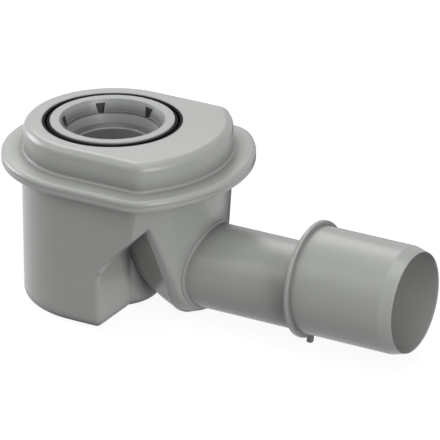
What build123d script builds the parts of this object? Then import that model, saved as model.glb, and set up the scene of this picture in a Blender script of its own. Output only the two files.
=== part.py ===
# Shower drain with a built-in trap: a pot with a side outlet, a cover welded on top of it,
# a seal ring round the inlet and a dip tube that lifts out.
# Millimetres, +Z up. The origin is where the inlet axis meets the flat top of the cover,
# and the outlet runs along +X.
from build123d import *
from math import cos, sin, tan, radians
import os

# Plan shape shared by the cover, the flange and the pot: a half circle about the inlet axis,
# straight sides, and an end that is an arc about the same axis
boss_side = 41.0
boss_end = 55.5
boss_corner = 8.0
pot_side = 42.0
pot_end = 55.6
flange_overhang = 10.4

# Heights: the cover is measured down from its top, the outlet up from the base of the pot
cover_height = 13.6
flange_thickness = 5.5
flange_joint = 2.75
pot_depth = 85.3
outlet_height = 29.0

# Walls and general roundings
wall = 2.6
cover_plate = 3.0
boss_round = 3.8
flange_top_round = 1.8
flange_bottom_round = 1.2
boss_root_round = 1.2
pot_bottom_round = 3.5
pot_inner_round = 2.2

# Cut-back side of the pot, with the round bulge that makes room for the dip tube
notch_x = 17.3
notch_corner = 2.6
bulge_radius = 22.2

# Underside of the body beside the chute, which climbs towards the outlet end
roof_above_outlet = 6.7
roof_angle = 44.0
roof_round = 9.0

# Chute from the top of the pot down to the outlet: two slanted sides and a curved floor,
# whose points are x and the height above the axis of the small pipe
chute_near_half = 10.2
chute_near_height = 1.8
chute_flare = 0.505
chute_slope = 0.437
chute_floor = ((10.0, -1.5), (33.5, -17.0), (58.0, -17.2))
chute_round = 9.5

# Keel: the V with a round foot that holds the chute behind the end wall. Past its widest
# place it narrows to that wall, which leans in towards its foot
keel_angle = 20.2
keel_taper = 19.0
keel_half_width = 37.0
keel_widest_x = 44.5
keel_foot_x = 41.0
keel_foot_round = 2.0
end_lean = 3.5
end_round = 2.0

# Outlet: a DN 40 pipe that steps up to a DN 50 spigot with its bottom line kept level
small_radius = 20.0
large_radius = 25.0
pipe_wall = 1.8
outlet_end_x = 157.2
collar_x = 106.8
collar_width = 2.0
collar_radius = 27.2
collar_round = 0.5
lug_width = 3.2
lug_drop = 3.3
lug_turn = -6.0
lug_round = 0.8
spigot_chamfer_length = 6.0
spigot_chamfer_depth = 1.6
root_ring_radius = 21.2
root_ring_height = 0.8
root_ring_round = 0.6

# Inlet: recess for the seal ring, and the seat of the dip tube below it
recess_radius = 32.3
recess_depth = 5.2
recess_edge = 0.5
seat_clearance = 0.2
seat_depth = 11.5
shelf_width = 2.4
shelf_thickness = 2.5
sleeve_wall = 2.4
rib_height = 2.0
rib_clearance = 0.15

# Dip tube, lifted out by six notches in its throat
rim_radius = 28.8
rim_proud = 0.45
rim_edge = 0.5
throat_radii = (24.3, 22.0, 19.6, 17.4)
throat_depths = (5.1, 10.3, 11.9)
throat_step = 0.35
tube_wall = 1.7
trap_seal = 50.0
tube_floor_gap = 8.2
grip_count = 6
grip_angle = 15.0
grip_top_width = 4.6
grip_bottom_width = 2.4
grip_top = 1.4
grip_height = 4.4
grip_depth = 2.0

# Seals
lip_wall = 1.1
lip_base = 1.6
lip_below_top = 0.4
lip_clearance = 0.05
ring_section = 2.6
ring_squeeze = 0.25
ring_level = -8.4
groove_width = 3.1

large_axis_z = outlet_height - pot_depth
small_axis_z = large_axis_z - (large_radius - small_radius)
keel_radius = pot_depth + small_axis_z
roof_start_z = small_axis_z + roof_above_outlet
flange_top_z = -cover_height
joint_z = flange_top_z - flange_joint
flange_bottom_z = flange_top_z - flange_thickness
tube_end_z = wall + tube_floor_gap - pot_depth
weir_z = tube_end_z + trap_seal
seat_radius = rim_radius + seat_clearance
far = 4 * boss_end


def outline(side, end, corner):
    """Plan face: half circle on the left, straight sides, and an arc for the outlet end."""
    body = Circle(side) + Pos(end / 2, 0) * Rectangle(end, 2 * side)
    face = body & Circle(end)
    right = face.vertices().group_by(Axis.X)[-1]
    return fillet(right, corner)


def pot_outline(inset):
    return outline(pot_side - inset, pot_end - inset, boss_corner)


def prism(face, low, high):
    """Upright solid over a plan face between two heights."""
    return extrude(Pos(0, 0, low) * face, amount=high - low)


def along_x(radius, start, end, axis_z):
    """Round bar parallel to the outlet."""
    length = end - start
    return Pos(start + length / 2, 0, axis_z) * Rot(0, 90, 0) * Cylinder(radius, length)


def end_wall(inset, proud):
    """Round block whose side is the end wall, which leans in below the flange."""
    top = pot_end - inset + proud
    fall = pot_depth + flange_bottom_z
    foot = top - fall * tan(radians(end_lean))
    return ring_of([
        (0, wall),
        (top, wall),
        (top, flange_bottom_z),
        (foot, -pot_depth),
        (0, -pot_depth),
    ])


def pot_form(inset, top_z, floor_round):
    """The cup of the trap with its cut-back side and bulge, drawn in on all sides by inset."""
    reach = notch_x - inset
    plan = pot_outline(inset) & Pos(reach - far / 2, 0) * Rectangle(far, far)
    corners = plan.vertices().group_by(Axis.X)[-1]
    plan = fillet(corners, notch_corner) + Circle(bulge_radius - inset)
    solid = prism(plan, -pot_depth + inset, top_z)
    floor = solid.faces().sort_by(Axis.Z)[0]
    return fillet(floor.edges(), floor_round)


def body_form(inset, top_z):
    """The wide upper part of the body, above the underside that climbs to the outlet end."""
    slope = radians(roof_angle)
    low = roof_start_z + inset / cos(slope)
    high = low + tan(slope) * (far - notch_x)
    reach = roof_round * tan(radians(90 - roof_angle) / 2)
    foot = (notch_x, low - reach)
    bend = TangentArc(foot, (notch_x + reach * cos(slope), low + reach * sin(slope)), tangent=(0, 1))
    rest = Polyline(bend @ 1, (far, high), (-far, high), (-far, low - reach), foot)
    slab = extrude(Plane.XZ * make_face(bend + rest), amount=far, both=True)
    return slab & prism(pot_outline(inset), low - reach, top_z) & end_wall(inset, 0)


def keel_bar(inset):
    """V-shaped bar along the outlet, round below, that narrows past its widest place."""
    radius = keel_radius - inset
    lean = radians(keel_angle)
    side = Vector(radius * cos(lean), -radius * sin(lean))
    half = keel_half_width - inset
    shoulder = side.Y + (half - side.X) / tan(lean)
    top = shoulder - small_axis_z
    foot = ThreePointArc((-side.X, side.Y), (0, -radius), (side.X, side.Y))
    rest = Polyline(
        foot @ 1, (half, shoulder), (half, top), (-half, top), (-half, shoulder), foot @ 0
    )
    section = Plane.YZ.offset(keel_widest_x) * Pos(0, small_axis_z) * make_face(foot + rest)
    back = extrude(section, amount=-keel_widest_x)
    front = extrude(section, amount=pot_end - keel_widest_x + wall, taper=keel_taper)
    return back + front


def chute_form(inset, top_z):
    """The chute between the cup and the end wall: a curved floor and two slanted sides."""
    near_x, near_drop = chute_floor[0]
    floor = ThreePointArc(*[(x, small_axis_z + rise + inset) for x, rise in chute_floor])
    rest = Polyline(floor @ 1, (chute_floor[-1][0], top_z), (near_x, top_z), floor @ 0)
    block = extrude(Plane.XZ * make_face(floor + rest), amount=far, both=True)
    for side in (-1, 1):
        out = Vector(-chute_flare, side, -chute_slope).normalized()
        corner = Vector(near_x, side * chute_near_half, small_axis_z + chute_near_height)
        block = split(block, Plane(origin=corner - out * inset, z_dir=out), keep=Keep.BOTTOM)
    creases = block.faces().sort_by(Axis.Z)[0].edges().filter_by(GeomType.LINE, reverse=True)
    block = fillet(creases, chute_round - inset)
    return block & keel_bar(inset) & end_wall(inset, 0)


def keel_foot():
    """Round foot of the keel below the chute, level with the base of the pot."""
    foot = along_x(keel_radius, keel_foot_x, far / 2, small_axis_z)
    foot = fillet(foot.faces().sort_by(Axis.X)[0].edges(), keel_foot_round)
    return foot & keel_bar(0) & end_wall(0, 0)


def end_edges(solid):
    """Edges round the leaning end wall, below the flange."""
    wall_face = solid.faces().filter_by(GeomType.CONE).sort_by(SortBy.AREA)[-1]
    return [e for e in wall_face.edges() if e.center().Z < flange_bottom_z]


def root_ring():
    """Low ring on the end wall round the root of the outlet pipe."""
    ring = along_x(root_ring_radius, keel_foot_x, far / 2, small_axis_z)
    ring = ring & end_wall(0, root_ring_height)
    face = ring.faces().filter_by(GeomType.CONE).sort_by(SortBy.AREA)[-1]
    return fillet(face.edges(), root_ring_round)


def flange_outline():
    side = boss_side + flange_overhang
    end = boss_end + flange_overhang
    return outline(side, end, boss_corner + flange_overhang)


def stop_collar():
    """Thin ring that stops the pipe socket, with a small tab at its lowest point."""
    back = collar_x - collar_width
    collar = along_x(collar_radius, back, collar_x, large_axis_z)
    collar = fillet(collar.edges().filter_by(GeomType.CIRCLE), collar_round)
    reach = collar_radius + lug_drop
    tab = Box(collar_width, lug_width, reach, align=(Align.MAX, Align.CENTER, Align.MAX))
    tab_floor = tab.faces().sort_by(Axis.Z)[0]
    tab = fillet(tab_floor.edges().filter_by(Axis.X), lug_round)
    return collar + Pos(collar_x, 0, large_axis_z) * Rot(lug_turn, 0, 0) * tab


def spigot_form():
    """Large end of the outlet, with a lead-in cone at its mouth."""
    cone_x = outlet_end_x - spigot_chamfer_length
    barrel = along_x(large_radius, collar_x - collar_width, cone_x, large_axis_z)
    mouth_radius = large_radius - spigot_chamfer_depth
    cone = Cone(large_radius, mouth_radius, spigot_chamfer_length)
    middle = (cone_x + outlet_end_x) / 2
    return barrel + Pos(middle, 0, large_axis_z) * Rot(0, 90, 0) * cone


def pot_hollow():
    """Water space: the cup, the chute behind its weir, and the stepped bore of the outlet."""
    above = joint_z + wall
    rib_room = prism(pot_outline(wall), joint_z - rib_height, above)
    behind_weir = body_form(wall, above) + chute_form(wall, above)
    behind_weir = behind_weir - pot_form(0, weir_z, pot_bottom_round)
    bore = along_x(small_radius - pipe_wall, keel_foot_x + wall, collar_x, small_axis_z)
    mouth = along_x(large_radius - pipe_wall, collar_x, outlet_end_x, large_axis_z)
    return pot_form(wall, above, pot_inner_round) + behind_weir + rib_room + bore + mouth


def build_pot():
    """Cup, body, chute and outlet in one moulding, open at the flange joint."""
    keel = chute_form(0, joint_z) + keel_foot()
    keel = fillet(end_edges(keel), end_round)
    flange = prism(flange_outline(), flange_bottom_z, joint_z)
    flange_floor = flange.faces().sort_by(Axis.Z)[0]
    flange = fillet(flange_floor.edges(), flange_bottom_round)
    pipe = along_x(small_radius, keel_foot_x, collar_x, small_axis_z)
    outer = pot_form(0, joint_z, pot_bottom_round) + body_form(0, joint_z) + flange + keel
    outer = outer + root_ring() + pipe + stop_collar() + spigot_form()
    return outer - pot_hollow()


def ring_of(points):
    """Solid of revolution about the inlet axis, from radius and height pairs."""
    return revolve(Plane.XZ * make_face(Polyline(*points, close=True)), Axis.Z)


def inlet_hole():
    """Stepped hole through the cover: recess, seat and the opening below the shelf."""
    shelf_radius = seat_radius - shelf_width
    return ring_of([
        (0, wall),
        (recess_radius, wall),
        (recess_radius, -recess_depth),
        (seat_radius, -recess_depth),
        (seat_radius, -seat_depth),
        (shelf_radius, -seat_depth),
        (shelf_radius, -far),
        (0, -far),
    ])


def rim_edges(solid, height):
    """Edges round the opening in the flat face of solid at the given height."""
    flats = solid.faces().filter_by(Axis.Z)
    ledge = min(flats, key=lambda f: abs(f.center().Z - height) - f.area / far**2)
    return ledge.inner_wires()[0].edges()


def stub(radius, low, high):
    """Round block about the inlet axis between two heights."""
    return prism(Circle(radius), low, high)


def build_cover():
    """Upper moulding: boss and flange half, with the seal and tube seats hanging inside."""
    boss = prism(outline(boss_side, boss_end, boss_corner), joint_z, 0)
    boss = fillet(boss.faces().sort_by(Axis.Z)[-1].edges(), boss_round)
    flange = prism(flange_outline(), joint_z, flange_top_z)
    flange = fillet(flange.faces().sort_by(Axis.Z)[-1].edges(), flange_top_round)
    cover = boss + flange
    cover = fillet(rim_edges(cover, flange_top_z), boss_root_round)

    # Rib that drops into the mouth of the pot and centres the cover before it is welded
    gap = wall + rib_clearance
    rib = outline(pot_side - gap, pot_end - gap, boss_corner)
    cover = cover + prism(rib, joint_z - rib_height, joint_z)
    inside = outline(boss_side - wall, boss_end - wall, boss_corner - wall)
    cover = cover - prism(inside, joint_z - rib_height, -cover_plate)

    cover = cover + stub(recess_radius + sleeve_wall, -recess_depth - sleeve_wall, -cover_plate)
    cover = cover + stub(seat_radius + sleeve_wall, -seat_depth - shelf_thickness, -recess_depth)
    cover = cover - inlet_hole()
    return fillet(rim_edges(cover, 0), recess_edge)


def grip_notches():
    """Six tapering notches in the throat, where a tool or fingers lift the tube out."""
    top = -grip_top
    foot = top - grip_height
    points = [
        (-grip_top_width / 2, top),
        (grip_top_width / 2, top),
        (grip_bottom_width / 2, foot),
        (-grip_bottom_width / 2, foot),
    ]
    back = throat_radii[1] + grip_depth
    face = Plane.YZ.offset(back) * make_face(Polyline(*points, close=True))
    notch = extrude(face, amount=-2 * grip_depth)
    turns = [grip_angle + 360 / grip_count * i for i in range(grip_count)]
    return [Rot(0, 0, turn) * notch for turn in turns]


def build_dip_tube():
    """Lift-out tube: rim with its ring groove, stepped throat, and the pipe below it."""
    r0, r1, r2, bore = throat_radii
    z1, z2, z3 = (-depth for depth in throat_depths)
    tube = bore + tube_wall
    groove_radius = seat_radius - ring_section + ring_squeeze
    groove_top = ring_level + groove_width / 2
    groove_low = ring_level - groove_width / 2
    skirt = groove_radius - tube_wall
    throat_back = r2 + tube_wall + throat_step
    body = ring_of([
        (r0, rim_proud),
        (rim_radius, rim_proud),
        (rim_radius, groove_top),
        (groove_radius, groove_top),
        (groove_radius, groove_low),
        (rim_radius, groove_low),
        (rim_radius, -seat_depth),
        (skirt, -seat_depth),
        (skirt, groove_top),
        (throat_back, groove_top),
        (throat_back, z2),
        (tube, z3 - tube_wall),
        (tube, tube_end_z),
        (bore, tube_end_z),
        (bore, z3),
        (r2, z2),
        (r2 + throat_step, z2),
        (r1, z1),
        (r1 + throat_step, z1),
    ])
    top = body.faces().filter_by(Axis.Z).sort_by(Axis.Z)[-1]
    body = fillet(top.edges(), rim_edge)
    return body - grip_notches()


def build_inlet_seal():
    """Lip seal: a base in the recess, an outer wall, and a lip that closes on the dip tube."""
    outer = recess_radius
    inner = rim_radius + lip_clearance
    floor = -recess_depth
    top = -lip_below_top
    crease = floor + lip_base
    lean = (outer - inner - 2 * lip_wall) / 2
    return ring_of([
        (outer, floor),
        (outer, top),
        (outer - lip_wall, top),
        (outer - lip_wall, crease),
        (inner + lean + lip_wall, crease),
        (inner + lip_wall, top),
        (inner, top),
        (inner + lean, crease),
        (inner + lean, floor),
    ])


def build_tube_seal():
    """Rubber ring in the groove of the dip tube, drawn squeezed against its seat."""
    across = ring_section - ring_squeeze
    along = ring_section + ring_squeeze
    middle = seat_radius - across / 2
    section = Plane.XZ * Pos(middle, ring_level) * Ellipse(across / 2, along / 2)
    return revolve(section, Axis.Z)


os.makedirs("parts", exist_ok=True)
export_step(build_pot(), "parts/pot.step")
export_step(build_cover(), "parts/cover.step")
export_step(build_inlet_seal(), "parts/inlet_seal.step")
export_step(build_dip_tube(), "parts/dip_tube.step")
export_step(build_tube_seal(), "parts/dip_tube_seal.step")
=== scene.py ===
# %% [markdown]
# This lesson dresses a finished model of a shower drain in moulded plastic: a grey trap housing
# with a flanged top, a black lip seal round its inlet, a grey lift-out tube and a stepped outlet
# pipe. The shapes come from the imported model, so the work here is the finish of each surface, the
# light and the camera. The imported model loads first, because the camera, the floor and the lamps
# are placed against it, and its box is measured and printed.

# %% Load the imported model
import bpy
from math import cos, radians, sin
from mathutils import Matrix, Vector


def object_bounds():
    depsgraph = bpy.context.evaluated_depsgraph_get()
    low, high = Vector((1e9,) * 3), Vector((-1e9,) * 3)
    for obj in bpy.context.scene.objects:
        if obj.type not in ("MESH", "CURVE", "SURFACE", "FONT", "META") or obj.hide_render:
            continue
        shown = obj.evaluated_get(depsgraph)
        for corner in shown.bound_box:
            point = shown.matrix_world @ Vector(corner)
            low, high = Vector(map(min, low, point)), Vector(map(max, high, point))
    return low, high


MM = 0.001
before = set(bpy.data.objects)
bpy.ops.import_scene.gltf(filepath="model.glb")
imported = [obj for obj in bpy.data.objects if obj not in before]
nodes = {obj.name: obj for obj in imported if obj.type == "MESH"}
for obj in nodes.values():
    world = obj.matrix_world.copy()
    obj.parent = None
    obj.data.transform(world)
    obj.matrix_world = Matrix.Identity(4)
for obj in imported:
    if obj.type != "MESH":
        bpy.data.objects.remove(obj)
cad_low, cad_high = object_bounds()
print("nodes:", sorted(nodes))
print("box in mm:", [round((h - l) / MM, 1) for l, h in zip(cad_low, cad_high)])

# %% [markdown]
# The photograph was taken from far away with a long lens: parallel edges of the pipe hardly
# converge. A camera can copy that either with an orthographic lens or with a long focal length.
# The long lens is used, because the slight convergence that is left is what makes the pipe's
# mouth look nearer. The camera looks along one fixed direction, and its place is moved sideways
# until the inlet falls where it is in the picture, so no lens shift is needed.

# %% Camera
CAMERA_AZIMUTH = radians(29.76)
CAMERA_ELEVATION = radians(24.03)
CAMERA_PLACE = Vector((0.924755, -1.518033, 0.741659))
FOCAL_LENGTH = 343.6
SENSOR_WIDTH = 36.0
CLIP_NEAR = 0.1
CLIP_FAR = 20.0


def add_camera(name):
    """A long lens that looks at the object along the photograph's direction."""
    data = bpy.data.cameras.new(name)
    data.lens = FOCAL_LENGTH
    data.sensor_width = SENSOR_WIDTH
    data.clip_start = CLIP_NEAR
    data.clip_end = CLIP_FAR
    camera = bpy.data.objects.new(name, data)
    bpy.context.scene.collection.objects.link(camera)
    turn = Matrix.Rotation(CAMERA_AZIMUTH, 4, "Z")
    tip = Matrix.Rotation(radians(90) - CAMERA_ELEVATION, 4, "X")
    camera.matrix_world = Matrix.Translation(CAMERA_PLACE) @ turn @ tip
    bpy.context.scene.camera = camera


add_camera("photo_camera")
print("camera at", [round(v, 3) for v in CAMERA_PLACE], "lens", FOCAL_LENGTH)

# %% [markdown]
# The object stands on a white sheet with nothing else in view. A white background could be made
# by flooding the scene with light, but that would wash out the plastic. Here the floor turns
# white only for rays that come straight from the camera, from a mirror or through glass, while
# soft light still falls on it at its own level, so the object keeps a faint shadow under it.

# %% White sheet
FLOOR_SIZE = 8.0
FLOOR_COLOUR = (0.2, 0.2, 0.2, 1.0)
SHADOW_COLOUR = (0.16, 0.16, 0.16, 1.0)
SHEET_GLOW = 0.93


def seen_directly(tree):
    """1 for camera, glossy and transmission rays, and 0 for the rays that light the object."""
    path = tree.nodes.new("ShaderNodeLightPath")
    first = tree.nodes.new("ShaderNodeMath")
    first.operation = "MAXIMUM"
    tree.links.new(path.outputs["Is Camera Ray"], first.inputs[0])
    tree.links.new(path.outputs["Is Glossy Ray"], first.inputs[1])
    second = tree.nodes.new("ShaderNodeMath")
    second.operation = "MAXIMUM"
    tree.links.new(first.outputs[0], second.inputs[0])
    tree.links.new(path.outputs["Is Transmission Ray"], second.inputs[1])
    return second.outputs[0]


def sheet_material(name):
    """White to the camera apart from the object's shadow, and dull grey paper to the lamps."""
    material = bpy.data.materials.new(name)
    material.use_nodes = True
    tree = material.node_tree
    tree.nodes.clear()
    paper = tree.nodes.new("ShaderNodeBsdfDiffuse")
    paper.inputs["Color"].default_value = FLOOR_COLOUR
    shade = tree.nodes.new("ShaderNodeBsdfDiffuse")
    shade.inputs["Color"].default_value = SHADOW_COLOUR
    glow = tree.nodes.new("ShaderNodeEmission")
    glow.inputs["Strength"].default_value = SHEET_GLOW
    lit = tree.nodes.new("ShaderNodeAddShader")
    tree.links.new(shade.outputs[0], lit.inputs[0])
    tree.links.new(glow.outputs[0], lit.inputs[1])
    mix = tree.nodes.new("ShaderNodeMixShader")
    tree.links.new(seen_directly(tree), mix.inputs["Fac"])
    tree.links.new(paper.outputs[0], mix.inputs[1])
    tree.links.new(lit.outputs[0], mix.inputs[2])
    output = tree.nodes.new("ShaderNodeOutputMaterial")
    tree.links.new(mix.outputs[0], output.inputs["Surface"])
    return material


def add_floor(name, height):
    """A wide flat sheet just under the object."""
    bpy.ops.mesh.primitive_plane_add(size=FLOOR_SIZE, location=(0, 0, height))
    floor = bpy.context.object
    floor.name = name
    floor.data.materials.append(sheet_material(name))


add_floor("white_sheet", cad_low.z)
print("floor at", round(cad_low.z / MM, 1), "mm")

# %% [markdown]
# Round the sheet lies the world. It could light the object all by itself, but light that is equal
# from every side leaves a round pipe flat. So it lights the object only a little, which keeps the
# deepest shadows open, and by the same ray test as the sheet it is bright where the plastic
# mirrors it.

# %% World
SKY_COLOUR = (0.8, 0.8, 0.8, 1.0)
SKY_LIGHT = 0.03
SKY_BRIGHT = 1.0


def sky_shader(tree, strength):
    """The pale sky at one strength."""
    sky = tree.nodes.new("ShaderNodeBackground")
    sky.inputs["Color"].default_value = SKY_COLOUR
    sky.inputs["Strength"].default_value = strength
    return sky.outputs[0]


def set_world(name):
    """An even sky that is weak as a light and bright to the camera and to mirrored rays."""
    world = bpy.data.worlds.new(name)
    world.use_nodes = True
    tree = world.node_tree
    tree.nodes.clear()
    mix = tree.nodes.new("ShaderNodeMixShader")
    tree.links.new(seen_directly(tree), mix.inputs["Fac"])
    tree.links.new(sky_shader(tree, SKY_LIGHT), mix.inputs[1])
    tree.links.new(sky_shader(tree, SKY_BRIGHT), mix.inputs[2])
    output = tree.nodes.new("ShaderNodeOutputWorld")
    tree.links.new(mix.outputs[0], output.inputs["Surface"])
    bpy.context.scene.world = world


set_world("studio")
bpy.context.scene.view_settings.view_transform = "Standard"
print("the world lights at", SKY_LIGHT, "and shows at", SKY_BRIGHT)

# %% [markdown]
# In the photograph the tops are the palest faces, the fronts are a middle grey, and both ends of
# the object are brighter than its middle. So the light comes from above and behind, from the left
# and from the right, and only little from the front. One big lamp can't do that. A ring of soft
# square lamps stands round the object instead, all at the same distance and aimed at its middle.
# Each row below gives one lamp's compass angle, its height angle, its size and its power.

# %% Lamps
AIM = (cad_low + cad_high) / 2
LAMP_DISTANCE = 1.25
LAMPS = (
    ("top", 0, 88, 0.8, 4.9),
    ("back_left_high", 135, 45, 0.7, 4.6),
    ("left_low", 182, 12, 0.6, 7.4),
    ("front_left_high", 222, 35, 0.7, 2.5),
    ("front_high", 270, 45, 0.7, 0.5),
    ("front_right_high", 320, 50, 0.8, 2.2),
    ("right_low", 333, 8, 0.55, 7.8),
)


def lamp_place(azimuth, elevation):
    """The point on the lamps' sphere at two angles in degrees."""
    level = LAMP_DISTANCE * cos(radians(elevation))
    offset = Vector((
        level * cos(radians(azimuth)),
        level * sin(radians(azimuth)),
        LAMP_DISTANCE * sin(radians(elevation)),
    ))
    return AIM + offset


def add_lamp(name, place, size, power):
    """A square soft lamp aimed at the object."""
    data = bpy.data.lights.new(name, "AREA")
    data.shape = "SQUARE"
    data.size = size
    data.energy = power
    lamp = bpy.data.objects.new(name, data)
    bpy.context.scene.collection.objects.link(lamp)
    lamp.location = place
    lamp.rotation_euler = (AIM - lamp.location).to_track_quat("-Z", "Y").to_euler()
    return lamp


for name, azimuth, elevation, size, power in LAMPS:
    lamp = add_lamp(name, lamp_place(azimuth, elevation), size, power)
    print(name, "at", [round(v, 2) for v in lamp.location], "power", power)

# %% [markdown]
# In the photograph the edges that face away to the right end in a thin dark line, where the
# plastic mirrors something dark at a flat angle. A photographer gets that line, which parts a
# pale object from a white ground, with a black card beside the object. Here the card lies behind
# it on the right and is left out of every kind of ray but the mirrored ones, so it neither shows
# nor takes light or casts a shadow.

# %% Black card for the dark edges
CARD_LOW = Vector((-0.13, 0.09))
CARD_HIGH = Vector((0.07, 0.45))
CARD_LIFT = 0.5 * MM
CARD_COLOUR = (0.02, 0.02, 0.02, 1.0)


def card_material(name):
    """Plain black paper."""
    material = bpy.data.materials.new(name)
    material.use_nodes = True
    tree = material.node_tree
    tree.nodes.clear()
    paper = tree.nodes.new("ShaderNodeBsdfDiffuse")
    paper.inputs["Color"].default_value = CARD_COLOUR
    output = tree.nodes.new("ShaderNodeOutputMaterial")
    tree.links.new(paper.outputs[0], output.inputs["Surface"])
    return material


def add_card(name, low, high, height):
    """A flat dark sheet between two corners, for mirrored rays only."""
    middle = (low + high) / 2
    bpy.ops.mesh.primitive_plane_add(size=1.0, location=(middle.x, middle.y, height))
    card = bpy.context.object
    card.name = name
    card.scale = (high.x - low.x, high.y - low.y, 1.0)
    card.data.materials.append(card_material(name))
    card.visible_camera = False
    card.visible_diffuse = False
    card.visible_transmission = False
    card.visible_shadow = False


add_card("black_card", CARD_LOW, CARD_HIGH, cad_low.z + CARD_LIFT)
print("card from", tuple(CARD_LOW), "to", tuple(CARD_HIGH))

# %% [markdown]
# Three finishes cover the object: the grey of the housing, a slightly darker grey on the insert,
# and the black of the rubber. All are moulded, so they share one effect: a fine grain from the
# tool and a slow change of tone where the melt flowed. It is made once, as a node group with its
# own inputs, and each material uses it with its own size and depth. The pattern is solid noise on
# object coordinates, because it then runs through every face without a seam.

# %% Grain and flow shared by all moulded surfaces
GRAIN_DETAIL = 2.0
FLOW_SCALE = 18.0
FLOW_DETAIL = 3.0


def group_socket(tree, name, kind, way, value=None):
    """Adds one named socket to a node group."""
    socket = tree.interface.new_socket(name=name, in_out=way, socket_type=kind)
    if value is not None:
        socket.default_value = value


def noise(tree, vector, scale, detail):
    """Solid noise whose scale comes from a socket of the group."""
    texture = tree.nodes.new("ShaderNodeTexNoise")
    texture.inputs["Detail"].default_value = detail
    tree.links.new(vector, texture.inputs["Vector"])
    tree.links.new(scale, texture.inputs["Scale"])
    return texture.outputs["Fac"]


def moulded_group():
    """Height of a fine grain, and a slow tone that marks the flow of the melt."""
    tree = bpy.data.node_groups.new("moulded_surface", "ShaderNodeTree")
    group_socket(tree, "Vector", "NodeSocketVector", "INPUT")
    group_socket(tree, "Grain Scale", "NodeSocketFloat", "INPUT")
    group_socket(tree, "Flow Scale", "NodeSocketFloat", "INPUT", FLOW_SCALE)
    group_socket(tree, "Height", "NodeSocketFloat", "OUTPUT")
    group_socket(tree, "Tone", "NodeSocketFloat", "OUTPUT")
    inside = tree.nodes.new("NodeGroupInput")
    outside = tree.nodes.new("NodeGroupOutput")
    vector = inside.outputs["Vector"]
    grain = noise(tree, vector, inside.outputs["Grain Scale"], GRAIN_DETAIL)
    flow = noise(tree, vector, inside.outputs["Flow Scale"], FLOW_DETAIL)
    tree.links.new(grain, outside.inputs["Height"])
    tree.links.new(flow, outside.inputs["Tone"])
    return tree


moulded_surface = moulded_group()
print("group", moulded_surface.name, "has", len(moulded_surface.nodes), "nodes")

# %% [markdown]
# Every root and crease is painted darker than its faces, as painted shade where little light gets
# in, and made duller. That could be painted on by hand, but an ambient occlusion node finds those
# places by itself, on every face, and its reach decides how far the painted shade spreads. A
# moulded edge is never knife-sharp either. Rounding every edge in the mesh would take many faces,
# so a bevel node rounds only how the light falls on it, by a radius for each material.

# %% Painted crease shade and edges
CREASE_ROUGHNESS = 0.95
EDGE_SAMPLES = 6


def painted_crease_shade(tree, colour, roughness, reach, depth):
    """The colour made darker as painted shade, and the surface duller, where other faces stand
    near.
    """
    # Painted shade: ambient occlusion multiplies the colour darker in roots, creases and hollows.
    near = tree.nodes.new("ShaderNodeAmbientOcclusion")
    near.inputs["Distance"].default_value = reach
    darker = tree.nodes.new("ShaderNodeMix")
    darker.data_type = "RGBA"
    darker.blend_type = "MULTIPLY"
    darker.inputs["Factor"].default_value = depth
    tree.links.new(colour, darker.inputs["A"])
    tree.links.new(near.outputs["AO"], darker.inputs["B"])
    duller = tree.nodes.new("ShaderNodeMix")
    duller.inputs["A"].default_value = CREASE_ROUGHNESS
    tree.links.new(near.outputs["AO"], duller.inputs["Factor"])
    tree.links.new(roughness, duller.inputs["B"])
    return darker.outputs["Result"], duller.outputs["Result"]


def grained_edges(tree, height, edge_round, grain_depth):
    """A normal that rounds the edges and carries the grain."""
    edge = tree.nodes.new("ShaderNodeBevel")
    edge.samples = EDGE_SAMPLES
    edge.inputs["Radius"].default_value = edge_round
    bump = tree.nodes.new("ShaderNodeBump")
    bump.inputs["Distance"].default_value = grain_depth
    tree.links.new(edge.outputs["Normal"], bump.inputs["Normal"])
    tree.links.new(height, bump.inputs["Height"])
    return bump.outputs["Normal"]


print("a crease has roughness", CREASE_ROUGHNESS, "and an edge takes", EDGE_SAMPLES, "samples")

# %% [markdown]
# A moulded material is then one principled shader. Three flat greys would do from a step away,
# but up close real plastic is never even. So the tone moves the colour between two close greys
# and the roughness within a small range, before the painted crease shade and the grain are laid
# over them. A thin coat gives the soft second sheen of plastic from a polished tool.

# %% One maker for all the finishes
COAT_ROUGHNESS = 0.25


def drifting_tone(tree, tone, dark, pale, rough):
    """A colour and a roughness that drift between two limits with the flow of the melt."""
    colour = tree.nodes.new("ShaderNodeMix")
    colour.data_type = "RGBA"
    colour.inputs["A"].default_value = dark
    colour.inputs["B"].default_value = pale
    tree.links.new(tone, colour.inputs["Factor"])
    sheen = tree.nodes.new("ShaderNodeMapRange")
    sheen.inputs["To Min"].default_value = rough[0]
    sheen.inputs["To Max"].default_value = rough[1]
    tree.links.new(tone, sheen.inputs["Value"])
    return colour.outputs["Result"], sheen.outputs["Result"]


def moulded_material(name, dark, pale, rough, grain, crease, edge_round, coat=0.0, shine=0.5):
    """Moulded plastic or rubber, from its two greys, its grain and its painted crease shade."""
    grain_scale, grain_depth = grain
    material = bpy.data.materials.new(name)
    material.use_nodes = True
    tree = material.node_tree
    shader = tree.nodes["Principled BSDF"]
    place = tree.nodes.new("ShaderNodeTexCoord")
    surface = tree.nodes.new("ShaderNodeGroup")
    surface.node_tree = moulded_surface
    surface.inputs["Grain Scale"].default_value = grain_scale
    tree.links.new(place.outputs["Object"], surface.inputs["Vector"])

    colour, roughness = drifting_tone(tree, surface.outputs["Tone"], dark, pale, rough)
    colour, roughness = painted_crease_shade(tree, colour, roughness, *crease)
    normal = grained_edges(tree, surface.outputs["Height"], edge_round, grain_depth)
    tree.links.new(colour, shader.inputs["Base Color"])
    tree.links.new(roughness, shader.inputs["Roughness"])
    tree.links.new(normal, shader.inputs["Normal"])
    shader.inputs["Specular IOR Level"].default_value = shine
    shader.inputs["Coat Weight"].default_value = coat
    shader.inputs["Coat Roughness"].default_value = COAT_ROUGHNESS
    return material


print("every coat has roughness", COAT_ROUGHNESS)
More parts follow.
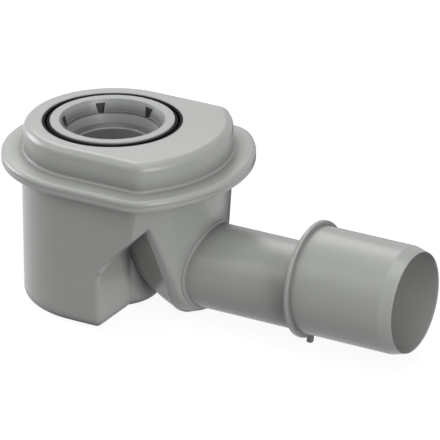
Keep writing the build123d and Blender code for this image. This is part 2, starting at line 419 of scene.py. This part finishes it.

# %% [markdown]
# The housing is a satin light grey with a faint green in it. The insert is moulded a little
# smoother, and its painted crease shade reaches so far that it is painted darker towards the
# bottom of its throat. The rubber is nearly black and takes hardly any shine. The grain of each
# finish is given as a scale and a depth, and its painted crease shade as a reach and a strength.

# %% The three finishes
housing = moulded_material(
    "housing_plastic",
    dark=(0.405, 0.418, 0.40, 1),
    pale=(0.45, 0.464, 0.445, 1),
    rough=(0.28, 0.36),
    grain=(1400.0, 0.02 * MM),
    crease=(8 * MM, 0.9),
    edge_round=0.8 * MM,
    coat=0.1,
)
insert = moulded_material(
    "insert_plastic",
    dark=(0.385, 0.40, 0.385, 1),
    pale=(0.425, 0.44, 0.425, 1),
    rough=(0.26, 0.34),
    grain=(1700.0, 0.015 * MM),
    # Painted shade: a 26 mm reach darkens the throat towards its bottom.
    crease=(26 * MM, 0.95),
    edge_round=0.3 * MM,
    coat=0.1,
)
rubber = moulded_material(
    "seal_rubber",
    dark=(0.004, 0.0045, 0.004, 1),
    pale=(0.008, 0.009, 0.008, 1),
    rough=(0.55, 0.7),
    grain=(2200.0, 0.01 * MM),
    crease=(4 * MM, 0.5),
    edge_round=0.2 * MM,
    shine=0.08,
)
print("finishes:", housing.name, insert.name, rubber.name)

# %% [markdown]
# The throat of the insert gets painted shade, where little light gets in: a dark line under each
# of its two steps, and in the six grip notches. A painted texture could show that, but the places
# are known from the model, so a mask can be worked out from the object coordinates. It takes two
# helpers: one step of arithmetic, and a soft band that is 1 between two limits.

# %% Arithmetic for the painted shade
BLUR = 0.25 * MM


def calculate(tree, operation, first, second):
    """One math step, where each input is a link or a plain number."""
    step = tree.nodes.new("ShaderNodeMath")
    step.operation = operation
    for socket, value in zip(step.inputs, (first, second)):
        if isinstance(value, (int, float)):
            socket.default_value = value
        else:
            tree.links.new(value, socket)
    return step.outputs[0]


def between(tree, value, low, high):
    """A soft mask that is 1 where the value lies between two limits."""
    ramps = []
    for start, end in ((low - BLUR, low + BLUR), (high + BLUR, high - BLUR)):
        ramp = tree.nodes.new("ShaderNodeMapRange")
        ramp.interpolation_type = "SMOOTHSTEP"
        ramp.inputs["From Min"].default_value = start
        ramp.inputs["From Max"].default_value = end
        tree.links.new(value, ramp.inputs["Value"])
        ramps.append(ramp.outputs["Result"])
    return calculate(tree, "MULTIPLY", *ramps)


print("the edge of a band is", round(2 * BLUR / MM, 2), "mm wide")

# %% [markdown]
# The height of a point says whether it lies in one of the two lines, and a little noise lets
# their edges wander. A notch is cut into the slanted wall of the throat. So the mask works out
# the radius of that wall at the height of the point, and a point that lies further from the inlet
# axis than the wall is in a notch.

# %% Mask for the steps and the notches of the throat
STEP_LINES = ((-6.1 * MM, -5.1 * MM), (-11.5 * MM, -10.2 * MM))
NOTCH_HEIGHTS = (-5.0 * MM, -1.5 * MM)
NOTCH_DEPTHS = (0.25 * MM, 3 * MM)
THROAT_TOP, TOP_RADIUS = 0.45 * MM, 24.3 * MM
THROAT_FOOT, FOOT_RADIUS = -5.1 * MM, 22.0 * MM
THROAT_LEAN = (TOP_RADIUS - FOOT_RADIUS) / (THROAT_TOP - THROAT_FOOT)
SHADE_WANDER = 0.35 * MM
SHADE_SPECK_SCALE = 260.0
NOISE_MIDDLE = 0.5
SQUARE_ROOT = 0.5


def wandering_height(tree, vector, wander, height):
    """The height of a point, shifted up or down a little by noise."""
    speck = tree.nodes.new("ShaderNodeTexNoise")
    speck.inputs["Scale"].default_value = SHADE_SPECK_SCALE
    tree.links.new(vector, speck.inputs["Vector"])
    shift = calculate(tree, "SUBTRACT", speck.outputs["Fac"], NOISE_MIDDLE)
    shift = calculate(tree, "MULTIPLY", shift, wander)
    return calculate(tree, "ADD", height, shift)


def notch_depth(tree, x, y, height):
    """How far a point lies outside the slanted wall of the throat."""
    across = calculate(tree, "MULTIPLY", x, x)
    along = calculate(tree, "MULTIPLY", y, y)
    radius = calculate(tree, "POWER", calculate(tree, "ADD", across, along), SQUARE_ROOT)
    wall = calculate(tree, "SUBTRACT", height, THROAT_FOOT)
    wall = calculate(tree, "MULTIPLY", wall, THROAT_LEAN)
    wall = calculate(tree, "ADD", wall, FOOT_RADIUS)
    return calculate(tree, "SUBTRACT", radius, wall)


def painted_shade_mask_group():
    """A painted-shade mask for the step lines and the notches, from object coordinates alone."""
    tree = bpy.data.node_groups.new("throat_painted_shade", "ShaderNodeTree")
    group_socket(tree, "Vector", "NodeSocketVector", "INPUT")
    group_socket(tree, "Wander", "NodeSocketFloat", "INPUT", SHADE_WANDER)
    group_socket(tree, "Mask", "NodeSocketFloat", "OUTPUT")
    inside = tree.nodes.new("NodeGroupInput")
    outside = tree.nodes.new("NodeGroupOutput")
    vector, wander = inside.outputs["Vector"], inside.outputs["Wander"]
    axes = tree.nodes.new("ShaderNodeSeparateXYZ")
    tree.links.new(vector, axes.inputs["Vector"])
    x, y, height = (axes.outputs[axis] for axis in "XYZ")
    level = wandering_height(tree, vector, wander, height)
    in_notch = between(tree, notch_depth(tree, x, y, height), *NOTCH_DEPTHS)
    mask = calculate(tree, "MULTIPLY", in_notch, between(tree, height, *NOTCH_HEIGHTS))
    # Painted shade: dark bands under the two steps of the throat.
    for low, high in STEP_LINES:
        mask = calculate(tree, "MAXIMUM", mask, between(tree, level, low, high))
    tree.links.new(mask, outside.inputs["Mask"])
    return tree


throat_painted_shade = painted_shade_mask_group()
print("group", throat_painted_shade.name, "has", len(throat_painted_shade.nodes), "nodes")

# %% [markdown]
# The mask could drive a second shader, but painted shade this thin only darkens the plastic under
# it. So the colour of the insert is multiplied by a dark grey where the mask is 1, between the
# colour that it already has and its shader.

# %% Painted shade on the insert
PAINTED_SHADE_LEFT = 0.28


def add_painted_shade(material, group, left):
    """Keeps only a share of the material's colour where the mask is 1, as painted shade."""
    tree = material.node_tree
    shader = tree.nodes["Principled BSDF"]
    colour = shader.inputs["Base Color"].links[0].from_socket
    place = tree.nodes.new("ShaderNodeTexCoord")
    painted_shade = tree.nodes.new("ShaderNodeGroup")
    painted_shade.node_tree = group
    tree.links.new(place.outputs["Object"], painted_shade.inputs["Vector"])
    mix = tree.nodes.new("ShaderNodeMix")
    mix.data_type = "RGBA"
    mix.blend_type = "MULTIPLY"
    mix.inputs["B"].default_value = (left, left, left, 1.0)
    tree.links.new(painted_shade.outputs["Mask"], mix.inputs["Factor"])
    tree.links.new(colour, mix.inputs["A"])
    tree.links.new(mix.outputs["Result"], shader.inputs["Base Color"])


# Painted shade: the insert's colour is darkened in the step lines and the notches.
add_painted_shade(insert, throat_painted_shade, PAINTED_SHADE_LEFT)
print("grime leaves", PAINTED_SHADE_LEFT, "of the colour of", insert.name)

# %% [markdown]
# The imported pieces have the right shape, and their facets leave the true curves by far less than
# a pixel of the picture. So no finer copy replaces them: they stay and only take their finish, in
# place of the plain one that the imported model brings.

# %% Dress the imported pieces
FINISHES = {
    "pot": housing,
    "cover": housing,
    "dip_tube": insert,
    "inlet_seal": rubber,
    "dip_tube_seal": rubber,
}
for node, material in FINISHES.items():
    piece = nodes[node]
    piece.data.materials.clear()
    piece.data.materials.append(material)
    print(node, "takes", material.name, "on", len(piece.data.polygons), "faces")
